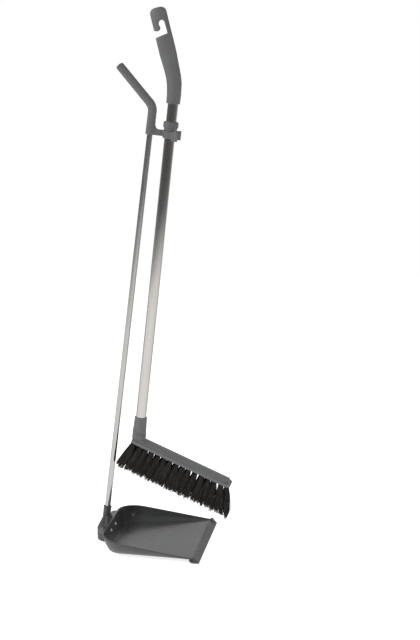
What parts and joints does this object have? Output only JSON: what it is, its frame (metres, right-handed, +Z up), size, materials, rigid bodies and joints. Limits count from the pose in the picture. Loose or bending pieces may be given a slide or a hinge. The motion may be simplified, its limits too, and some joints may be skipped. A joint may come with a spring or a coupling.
{
  "type": "lobby dustpan",
  "caption": "Upright scoop dustpan on a thin tube handle with a bent grip and a clip, carrying a tall broom with a slanted brush and a hook grip.",
  "frame": {"origin": "on the floor, below the middle of the part's box", "axes": "+X from the back of the pan towards its lip, +Y to the side away from the camera, +Z up"},
  "size_m": [0.2966, 0.25, 1.1391],
  "materials": {
    "charcoal_plastic": "satin moulded",
    "lip_rubber": "matt",
    "bright_steel": "bright",
    "chrome_tube": "plated",
    "silver_tube": "polished",
    "black_bristle": "matt fibre"
  },
  "bodies": {
    "dustpan": {"pan_shell": "charcoal_plastic", "lip_strip": "lip_rubber", "handle_bracket": "charcoal_plastic", "bracket_rivets": "bright_steel", "rivet_washers": "bright_steel", "pan_tube": "chrome_tube", "bracket_screw": "bright_steel", "handle_top": "charcoal_plastic", "handle_screw": "bright_steel"},
    "collar": {"stop_collar": "charcoal_plastic"},
    "broom": {"broom_tube": "silver_tube", "hook_grip": "charcoal_plastic", "grip_screw": "bright_steel", "brush_cover": "charcoal_plastic", "socket_screw": "bright_steel", "brush_block": "charcoal_plastic", "tuft_row_1": "black_bristle", "tuft_row_2": "black_bristle", "tuft_row_3": "black_bristle", "tuft_row_4": "black_bristle", "tuft_row_5": "black_bristle"}
  },
  "joints": [
    {"name": "broom_pull", "type": "slide", "parent": "dustpan", "child": "collar", "axis": [0.994, 0, -0.1097], "range_m": [0, 0.15]},
    {"name": "broom_swivel", "type": "hinge", "parent": "collar", "child": "broom", "pos_m": [0.01869, 0, 0.88951], "axis": [0.1097, 0, 0.994], "range_deg": [-120, 120]}
  ]
}
